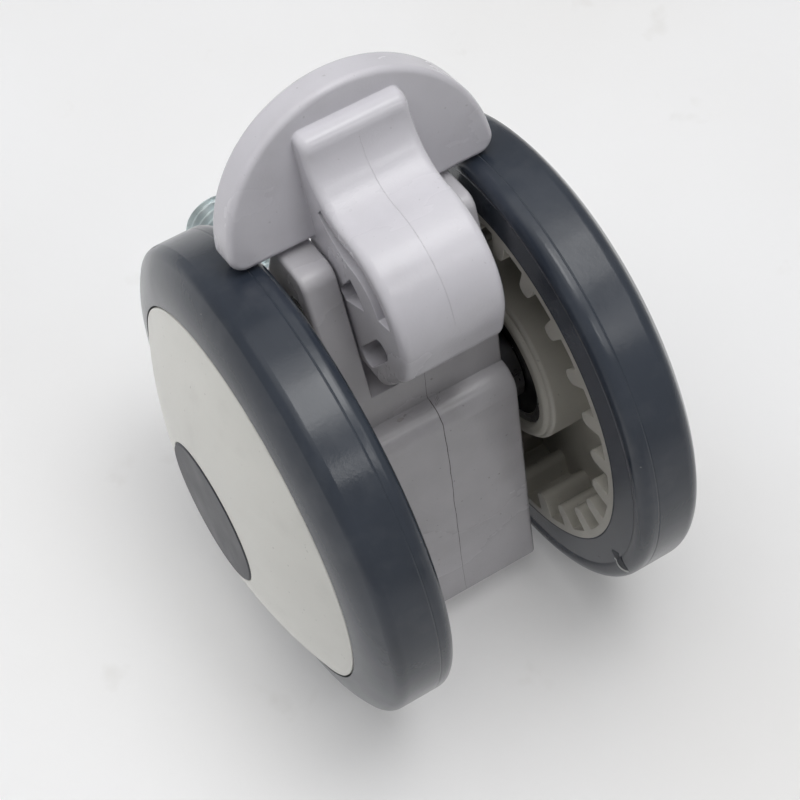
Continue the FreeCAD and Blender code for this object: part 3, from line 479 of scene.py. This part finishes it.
def along(points, steps):
    """Points on straight runs between the given ones, so that a wobble has something to move."""
    filled = []
    for (start, out_a), (end, out_b) in zip(points, points[1:]):
        for step in range(steps):
            share = step / steps
            place = Vector(start).lerp(Vector(end), share)
            filled.append((place, Vector(out_a).lerp(Vector(out_b), share)))
    return filled + [points[-1]]


def arc(middle, radius, y, turns, hollow=False):
    """A path round a middle, given as x and z. A hollow bend faces its middle, any other faces away."""
    facing = -1.0 if hollow else 1.0
    path = []
    for degrees in turns:
        x, z = math.cos(math.radians(degrees)), math.sin(math.radians(degrees))
        path.append(((middle[0] + radius * x, y, middle[1] + radius * z), (facing * x, 0.0, facing * z)))
    return path


print("slivers are sunk by", SUNK, "mm")

# %% The crack in the housing
BOTTOM, LEDGE, STEP_X, STEP_RADIUS, BACK = -10.9, -7.2, 8.7, 3.7, -34.0
DOWN = (0.0, 0.0, -1.0)
ON_LEDGE = [(14.6, -0.05), (12.0, -0.17), (10.0, -0.24), (STEP_X + 0.05, -0.2)]
UNDERNEATH = [(2.85, -0.1), (-1.5, -0.08), (-6.2, -0.12), (-11.0, -0.26), (-15.2, -0.31), (-19.7, -0.36),
              (-24.8, -0.52), (-30.1, -0.56), (BACK + 0.2, -0.46)]


def small_mark_finish(name, colour, paler, roughness):
    """A dull, uneven finish for small marks, such as dirt in a crack, painted shade beside a gate mark, or
    a rib of cut-off flash painted pale as a glint.
    """
    f = Finish(name, roughness, level=0.2)
    f.wire(f.mix(f.between(f.cloud(900.0, 4.0), 0.35, 0.7), linear(*colour), linear(*paler)), "Base Color")
    f.wire(f.bump(f.cloud(2400.0, 2.0), 0.00003, f.rounded(0.0001)), "Normal")
    return f.material


crack_dirt = small_mark_finish("crack_dirt", (96, 92, 92), (140, 136, 137), 0.8)
ledge_run = along([((x, y, LEDGE), DOWN) for x, y in ON_LEDGE], 5)
bend = arc((STEP_X - STEP_RADIUS, LEDGE), STEP_RADIUS, -0.1, [-7.5 * step for step in range(13)])
under = along([((x, y, BOTTOM), DOWN) for x, y in UNDERNEATH], 6)
sliver("crack_on_ledge", ledge_run, lambda s: 0.05 + 0.05 * s, crack_dirt, "housing",
       wobble=0.08, seed=3.1)
sliver("crack_under_housing", bend + under, lambda s: 0.11 * (1 - s) ** 0.7 + 0.03, crack_dirt,
       "housing", wobble=0.09, seed=7.7)
print("crack laid along", len(ledge_run) + len(bend) + len(under), "points")

# %% The lever's mould line
BELLY, BELLY_RADIUS = (33.8, -6.9), 12.0
SADDLE, SADDLE_RADIUS = (54.0, -6.9), 8.2
front = arc(BELLY, BELLY_RADIUS, 0.0, range(-88, 0, 4))
front += arc(SADDLE, SADDLE_RADIUS, 0.0, range(180, 97, -4), hollow=True)
lever_line = moulded("lever_line", (200, 198, 204), 0.36, edge=0.0001, dirt=0.3, mottle=0.05)
sliver("lever_mould_line", front, lambda s: 0.13 - 0.05 * abs(2 * s - 1), lever_line, "pedal",
       lift=0.01, wobble=0.03, seed=1.3)
print("mould line points:", len(front))

# %% [markdown]
# ## Nicks and specks
#
# Small marks of use belong to this caster: a nick on the housing's rounded step, a few scratches beside
# the crack, and specks on its underside. Each is a small lens of a few rings with an uneven outline, laid
# on the surface in the same way as the slivers.

# %% A lens for a mark
MARK_SUNK = 0.06
RAGGED, RAGGED_SCALE = 0.35, 1.7


def mark(name, place, out, long_axis, length, width, material, body, seed=0.0, height=0.015):
    """A low uneven lens on a surface, its length along an axis."""
    out = Vector(out).normalized()
    side = Vector(long_axis).cross(out).normalized()
    ahead = out.cross(side)
    sides = 18
    points, faces = [], []
    for level, share in ((-MARK_SUNK, 1.0), (height * 0.3, 1.0), (height, 0.6)):
        for step in range(sides):
            turn = 2 * math.pi * step / sides
            at = Vector((math.cos(turn) * RAGGED_SCALE, math.sin(turn) * RAGGED_SCALE, seed))
            ragged = 1 + RAGGED * noise.noise(at)
            spot = Vector(place) + ahead * (length / 2 * share * ragged * math.cos(turn))
            spot += side * (width / 2 * share * ragged * math.sin(turn)) + out * level
            points.append(from_axle(*spot))
    for row in range(2):
        for step in range(sides):
            after = (step + 1) % sides
            faces.append((row * sides + step, row * sides + after, (row + 1) * sides + after,
                          (row + 1) * sides + step))
    faces.append(tuple(reversed(range(sides))))
    faces.append(tuple(range(2 * sides, 3 * sides)))
    piece = link_mesh(name, points, faces, material)
    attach(piece, body)


print("marks are sunk by", MARK_SUNK, "mm")

# %% Marks of use
nick_dirt = small_mark_finish("nick_dirt", (146, 142, 142), (172, 168, 169), 0.7)
STEP_OUT = (0.97, 0.0, -0.24)
FORWARD, SIDEWAYS = (1.0, 0.0, 0.0), (0.0, 1.0, 0.0)
MARKS = [  # name, place, way out of the surface, long axis, length, width, seed
    ("step_nick", (8.59, -5.3, -8.08), STEP_OUT, SIDEWAYS, 1.1, 0.5, 2.0),
    ("speck_a", (-10.3, 5.95, BOTTOM), DOWN, FORWARD, 0.3, 0.24, 4.0),
    ("speck_b", (-10.7, 7.7, BOTTOM), DOWN, FORWARD, 0.34, 0.26, 5.0),
    ("speck_c", (12.3, 0.9, LEDGE), DOWN, FORWARD, 0.5, 0.34, 6.0),
    ("scratch_0", (8.52, 0.35, -8.3), STEP_OUT, (0.3, 0.2, 1.0), 1.2, 0.07, 8.0),
    ("scratch_1", (8.6, 0.62, -8.1), STEP_OUT, (0.3, 0.16, 1.0), 1.2, 0.07, 9.0),
    ("scratch_2", (8.63, 0.9, -7.98), STEP_OUT, (0.3, 0.22, 1.0), 1.2, 0.07, 10.0),
    ("scratch_3", (8.66, 1.15, -7.85), STEP_OUT, (0.3, 0.18, 1.0), 1.2, 0.07, 11.0),
]
for name, place, out, long_axis, length, width, seed in MARKS:
    mark(name, place, out, long_axis, length, width, nick_dirt, "housing", seed=seed)
print("marks laid:", len(MARKS))

# %% [markdown]
# ## Gate marks and seams of the treads
#
# The tread is moulded round the wheel's core. On the inner side that leaves a thin dark seam where the two
# meet, and one gate mark where the material flowed in: a low rib of cut-off flash, painted pale as a glint,
# in a dark patch that is painted shade beside the rib. Both are slivers again. Their paths follow the
# tread's side, which is a slightly conical flat that ends in a rounded bead, and they ride on the wheels,
# so they turn with them.

# %% Paths on the inner side of a wheel
CORE_RADIUS, CORE_FACE = 30.3, 15.3
FLAT_END, FLAT_SLOPE = 34.6, 0.07
BEAD_MIDDLE, BEAD_DEPTH, BEAD_RADIUS = 35.6, 17.2, 1.9


def up_the_side(side, radii, turns, steps=16):
    """A path from one radius and turn to another over the flat and the bead; side is -1 left, 1 right."""
    path = []
    for step in range(steps + 1):
        radius = radii[0] + (radii[1] - radii[0]) * step / steps
        angle = math.radians(turns[0] + (turns[1] - turns[0]) * step / steps)
        lean, face = FLAT_SLOPE, CORE_FACE + (radius - CORE_RADIUS) * FLAT_SLOPE
        if radius > FLAT_END:
            lean = (radius - BEAD_MIDDLE) / BEAD_RADIUS
            face = BEAD_DEPTH - BEAD_RADIUS * math.sqrt(1 - lean * lean)
        out = (lean * math.cos(angle), -side * math.sqrt(1 - lean * lean), lean * math.sin(angle))
        path.append(((radius * math.cos(angle), side * face, radius * math.sin(angle)), out))
    return path


def round_the_core(side, count=96):
    """The circle where core and tread meet."""
    turns = [2 * math.pi * step / count for step in range(count + 1)]
    return [((CORE_RADIUS * math.cos(t), side * CORE_FACE, CORE_RADIUS * math.sin(t)), (0.0, -side, 0.0))
            for t in turns]


print("tread side: flat from", CORE_RADIUS, "to", FLAT_END, "mm, then a bead")

# %% Gate marks and seams
# A dark colour for the seam between core and tread, and painted shade for the patch beside the gate's rib.
seam_dark_and_painted_shade = small_mark_finish("seam_dark_and_painted_shade", (47, 50, 56), (58, 61, 67), 0.45)
# The flash rib's pale colour is partly its own and partly a painted glint.
flash_rib_and_glint = small_mark_finish("flash_rib_and_glint", (186, 188, 186), (202, 203, 199), 0.5)
for wheel, side in (("left", -1), ("right", 1)):
    body = f"{wheel}_wheel"
    shade_patch_path = up_the_side(side, radii=(33.0, 36.7), turns=(-119.5, -117.6))
    flash_path = up_the_side(side, radii=(34.2, 36.9), turns=(-121.0, -118.7))
    sliver(f"tread_seam_{wheel}", round_the_core(side), lambda s: 0.22, seam_dark_and_painted_shade, body)
    sliver(f"gate_shade_patch_{wheel}", shade_patch_path, lambda s: 0.5 + 2.1 * min(s * 3, (1 - s) * 5, 1),
           seam_dark_and_painted_shade, body, lift=0.035)
    sliver(f"flash_rib_and_glint_{wheel}", flash_path, lambda s: 0.25 + 0.35 * s, flash_rib_and_glint, body,
           lift=0.1)
print("seams and gate marks on both wheels")

# %% [markdown]
# ## The table
#
# In the photograph the caster lies on its two wheels and the tip of its stem. That fixes the table: a
# plane that touches both wheels and the stem's end. It belongs to the stage, yet it turns with the
# housing, so that a swivelled caster still lies on it. Seen from behind it is clear, and lamps shine
# through it, so the other views show the caster and not the table's back.

# %% Table
TABLE_NORMAL = Vector((0.9778, 0.0, -0.2095)).normalized()
TABLE_HALF = 0.9
TABLE_GLOW = 0.12
TABLE_GAP = 0.02 * MM
table_place = AXLE - TABLE_NORMAL * (WHEEL_RADIUS + TABLE_GAP)


def mixed(f, share, first, second):
    """Two shaders mixed by a share from 0 to 1."""
    node = f.add("ShaderNodeMixShader")
    for socket, output in zip(node.inputs, (share, first, second)):
        f.tree.links.new(output, socket)
    return node.outputs["Shader"]


def table_finish():
    """A pale, smudged table top that glows a little where it is seen, and is clear from behind."""
    f = Finish("table_white", 0.55, level=0.3)
    smudge = f.between(f.cloud(9.0, 6.0), 0.4, 0.75)
    colour_now = f.mix(smudge, linear(250, 250, 251), linear(243, 242, 241))
    marks = f.between(f.cloud(75.0, 5.0), 0.66, 0.82, 0.0, 0.35)
    f.wire(f.mix(marks, colour_now, linear(206, 202, 194)), "Base Color")
    f.wire(f.bump(f.cloud(240.0, 4.0), 0.00008, f.rounded(0.0001)), "Normal")
    ray = f.add("ShaderNodeLightPath").outputs
    mirrored = f.math("MAXIMUM", ray["Is Glossy Ray"], ray["Is Transmission Ray"])
    seen = f.math("MAXIMUM", ray["Is Camera Ray"], mirrored)
    glow = f.add("ShaderNodeEmission", Color=(1.0, 1.0, 1.0, 1.0), Strength=1.0).outputs["Emission"]
    pale = mixed(f, f.math("MULTIPLY", seen, TABLE_GLOW), f.shader.outputs["BSDF"], glow)
    clear = f.add("ShaderNodeBsdfTransparent").outputs["BSDF"]
    behind = f.add("ShaderNodeNewGeometry").outputs["Backfacing"]
    surface = mixed(f, f.math("MAXIMUM", behind, ray["Is Shadow Ray"]), pale, clear)
    f.tree.links.new(surface, f.tree.nodes["Material Output"].inputs["Surface"])
    return f.material


table_u = Vector((0.0, 1.0, 0.0))
table_v = TABLE_NORMAL.cross(table_u)
SQUARE = ((-1, -1), (1, -1), (1, 1), (-1, 1))
corners = [table_place + (table_u * a + table_v * b) * TABLE_HALF for a, b in SQUARE]
table_mesh = bpy.data.meshes.new("table")
table_mesh.from_pydata(corners, [], [(0, 1, 2, 3)])
table_mesh.materials.append(table_finish())
table = bpy.data.objects.new("table", table_mesh)
bpy.context.scene.collection.objects.link(table)
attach(table, "housing")
print("table normal", [round(x, 3) for x in table_mesh.polygons[0].normal])

# %% [markdown]
# ## Light
#
# The tyres tell where the light is. Pale patches on their glossy treads are windows, and the soft shading
# of lever and plate says that most light comes from a broad ceiling straight above the table. Each tyre
# mirrors the large window from its own place, the far one more dimly, so the window has a bright half, a
# dim half and a weak pane on top. The second patch on each tyre is a smaller window beside it. A lamp on
# the left fills the cover, and one behind the table lights the side that the photograph doesn't show.
#
# Lamps are placed in the table's own directions: up from it, along the axle, and across. A lamp that isn't
# mirrored lights the pieces and leaves no patch on a glossy one.

# %% Lamps
LIGHT_DISTANCE = 0.8


def lamp(name, up, along_axle, across, width, height, power, mirrored):
    """A soft rectangular lamp that looks at the axle, its direction given from the table."""
    direction = (TABLE_NORMAL * up + table_u * along_axle + table_v * across).normalized()
    data = bpy.data.lights.new(name, "AREA")
    data.shape = "RECTANGLE"
    data.size, data.size_y = width, height
    data.energy = power
    light = bpy.data.objects.new(name, data)
    light.location = AXLE + direction * LIGHT_DISTANCE
    light.rotation_mode = "QUATERNION"
    light.rotation_quaternion = (-direction).to_track_quat("-Z", "Y")
    light.visible_glossy = mirrored
    bpy.context.scene.collection.objects.link(light)


LAMPS = [  # name, up, along the axle, across, width and height in metres, watts, mirrored
    ("ceiling", 1.0, -0.12, 0.16, 0.9, 0.9, 3.9, False),
    ("ceiling_panel", 1.0, 0.1, 0.1, 0.9, 0.9, 1.25, True),
    ("window", 0.95, 0.2, -0.1, 0.24, 0.28, 0.8, True),
    ("window_far_half", 0.95, 0.46, -0.1, 0.16, 0.28, 0.19, True),
    ("window_top", 0.95, 0.27, 0.15, 0.36, 0.16, 0.2, True),
    ("side_window", 0.79, 0.23, -0.57, 0.12, 0.12, 0.18, True),
    ("far_window", 0.76, 0.44, -0.53, 0.16, 0.3, 0.22, True),
    ("left_window", 0.45, -0.85, 0.25, 0.6, 0.6, 0.7, False),
    ("fill_behind", -0.75, -0.35, 0.55, 0.6, 0.6, 2.0, True),
]
for row in LAMPS:
    lamp(*row)

# %% [markdown]
# ## The room
#
# The room gives a dim even light. A pale background could come from a brighter room, but then the pieces
# would be flooded too. The Light Path node tells what kind of ray meets the room, so the camera and the
# mirror-like surfaces see it paler than the pieces are lit by it.

# %% Room
ROOM_LIGHT, ROOM_SEEN, ROOM_MIRRORED = 0.11, 0.74, 0.32
world = bpy.data.worlds.new("room")
bpy.context.scene.world = world
world.use_nodes = True
room = world.node_tree.nodes["Background"]
room.inputs["Color"].default_value = (0.98, 0.99, 1.0, 1.0)


def room_math(operation, first, second):
    """A sum in the room's own nodes."""
    node = world.node_tree.nodes.new("ShaderNodeMath")
    node.operation = operation
    for socket, value in zip(node.inputs, (first, second)):
        feed(world.node_tree, socket, value)
    return node.outputs["Value"]


ray = world.node_tree.nodes.new("ShaderNodeLightPath").outputs
mirrored = room_math("MAXIMUM", ray["Is Glossy Ray"], ray["Is Transmission Ray"])
paler = room_math("ADD", room_math("MULTIPLY", ray["Is Camera Ray"], ROOM_SEEN),
                  room_math("MULTIPLY", mirrored, ROOM_MIRRORED))
feed(world.node_tree, room.inputs["Strength"], room_math("ADD", paler, ROOM_LIGHT))
bpy.context.scene.view_settings.view_transform = "Standard"
print("room strength: lighting", ROOM_LIGHT, "seen", ROOM_LIGHT + ROOM_SEEN)
